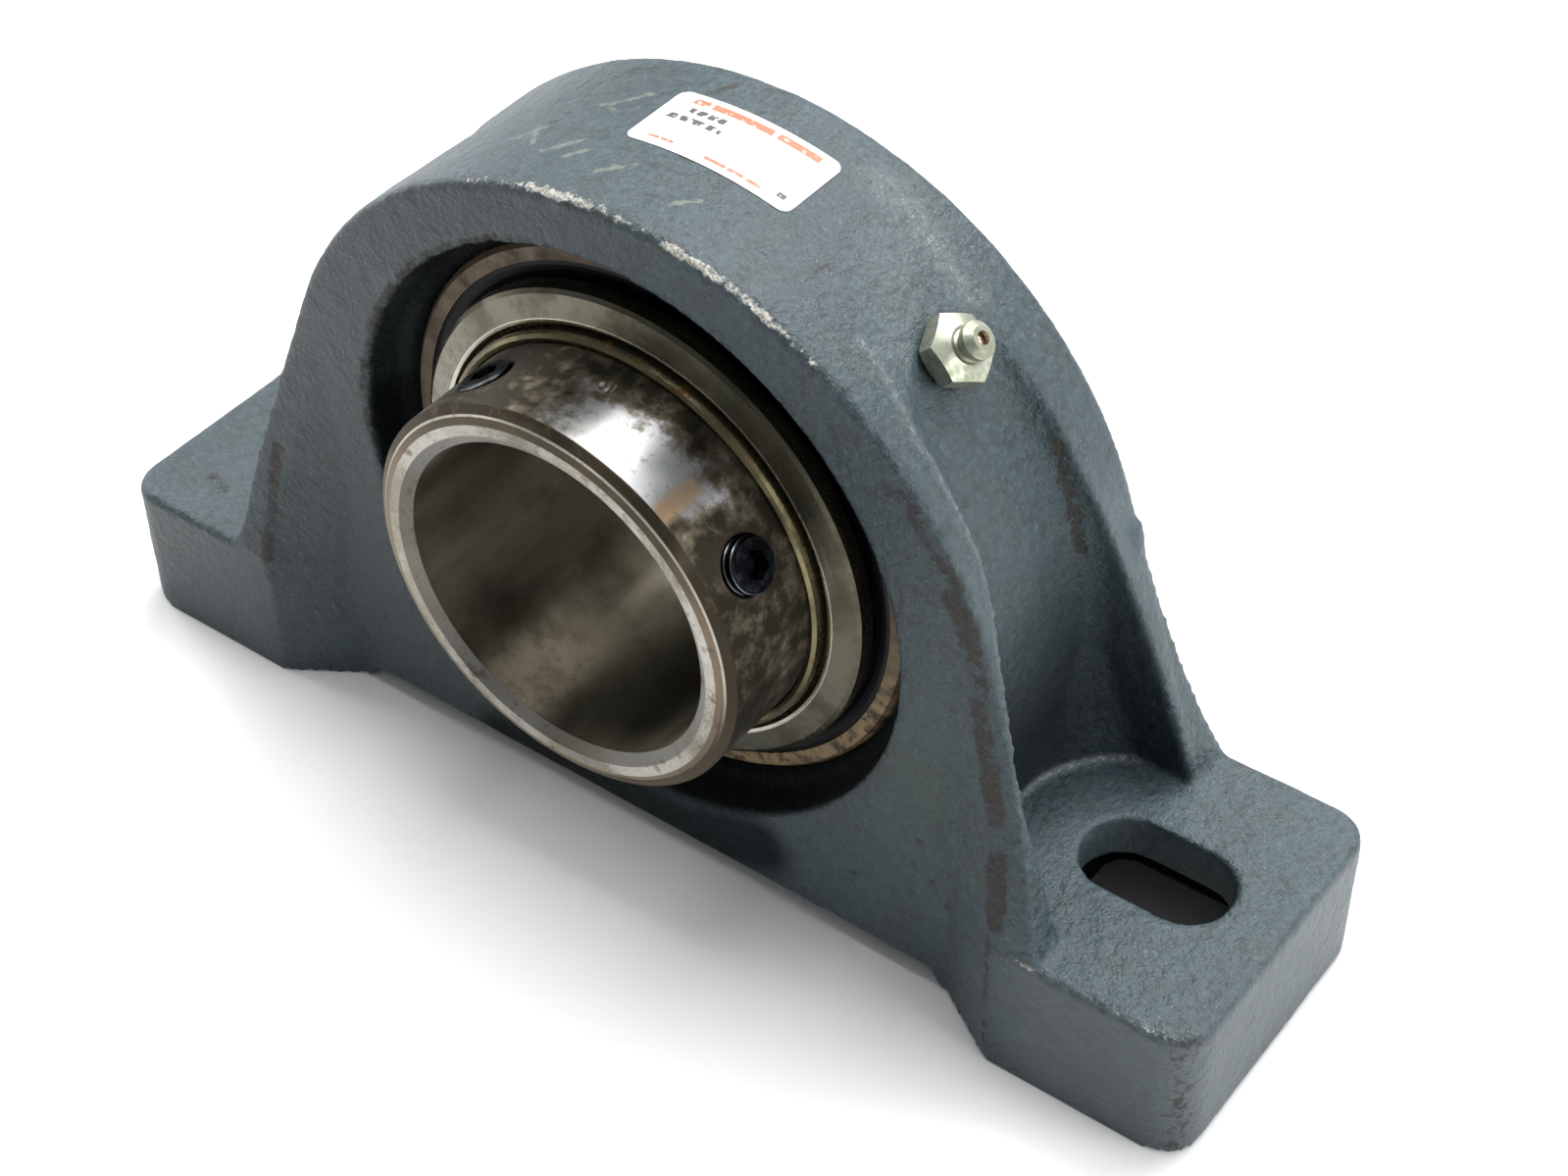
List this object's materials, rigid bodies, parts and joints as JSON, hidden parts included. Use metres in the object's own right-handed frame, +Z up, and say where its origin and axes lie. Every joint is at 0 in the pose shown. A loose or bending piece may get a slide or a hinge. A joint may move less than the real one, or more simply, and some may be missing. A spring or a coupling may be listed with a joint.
{
  "type": "pillow block bearing",
  "caption": "Cast pillow block with a self-aligning ball bearing insert, a set-screw collar, slotted feet and a grease nipple.",
  "frame": {"origin": "centre of the two-bolt pattern on the mounting plane, under the bore axis at the barrel's mid-plane", "axes": "+X along the base from slot to slot, +Y along the shaft away from the set-screw collar, +Z up from the mounting plane"},
  "size_m": [0.243, 0.0732, 0.1385],
  "materials": {
    "cast_housing": "blue-grey paint over sand-cast iron, chipped along the edges",
    "pin_steel": "ground dowel",
    "outer_race_steel": "turned face with a brown rust bloom, ground sphere",
    "seal_rubber": "moulded black nitrile, oily",
    "seal_steel": "pressed sheet",
    "flinger_plate": "dull zinc plate with khaki tarnish and brown stains",
    "cage_steel": "pressed sheet",
    "rivet_steel": "headed wire",
    "inner_ring_steel": "ground and polished bearing steel, tarnished brown",
    "black_oxide_steel": "black oxide, oiled",
    "ball_steel": "polished",
    "zinc_plate": "zinc plate, slightly yellowed",
    "spring_wire": "drawn wire",
    "label_paper": "matt white label stock with plain printed rules, no lettering"
  },
  "bodies": {
    "housing": {"housing": "cast_housing", "grease_nipple_body": "zinc_plate", "grease_nipple_spring": "spring_wire", "paper_label": "label_paper"},
    "lock_pin": {"lock_pin": "pin_steel"},
    "outer_ring": {"outer_ring": "outer_race_steel", "front_seal_lip": "seal_rubber", "rear_seal_lip": "seal_rubber", "front_seal_insert": "seal_steel", "rear_seal_insert": "seal_steel"},
    "inner_ring": {"inner_ring": "inner_ring_steel", "front_flinger": "flinger_plate", "rear_flinger": "flinger_plate"},
    "ball_set": {"balls": "ball_steel", "front_cage_half": "cage_steel", "rear_cage_half": "cage_steel", "cage_rivets": "rivet_steel"},
    "set_screw_left": {"set_screw_left": "black_oxide_steel"},
    "set_screw_right": {"set_screw_right": "black_oxide_steel"},
    "nipple_ball": {"grease_nipple_ball": "ball_steel"}
  },
  "joints": [
    {"name": "insert_yaw", "type": "hinge", "parent": "housing", "child": "lock_pin", "pos_m": [0, 0, 0.06985], "axis": [0, 0, 1], "range_deg": [-2.5, 2.5]},
    {"name": "insert_tilt", "type": "hinge", "parent": "lock_pin", "child": "outer_ring", "pos_m": [0, 0, 0.06985], "axis": [1, 0, 0], "range_deg": [-2.5, 2.5]},
    {"name": "shaft_spin", "type": "hinge", "parent": "outer_ring", "child": "inner_ring", "pos_m": [0, 0, 0.06985], "axis": [0, 1, 0], "continuous": true},
    {"name": "cage_spin", "type": "hinge", "parent": "outer_ring", "child": "ball_set", "pos_m": [0, 0, 0.06985], "axis": [0, 1, 0], "continuous": true},
    {"name": "screw_left_advance", "type": "slide", "parent": "inner_ring", "child": "set_screw_left", "axis": [0.515, 0, -0.8572], "range_m": [-0.003, 0.0017]},
    {"name": "screw_right_advance", "type": "slide", "parent": "inner_ring", "child": "set_screw_right", "axis": [-0.8746, 0, -0.4848], "range_m": [-0.0015, 0.0037]},
    {"name": "nipple_valve", "type": "slide", "parent": "housing", "child": "nipple_ball", "axis": [-0.7169, 0, -0.6972], "range_m": [0, 0.0015], "stiffness_N_per_m": 300, "springref_m": -0.0005, "deforming": ["grease_nipple_spring"]}
  ],
  "couplings": [
    {"joint": "cage_spin", "follows": "shaft_spin", "ratio": 0.41353}
  ]
}
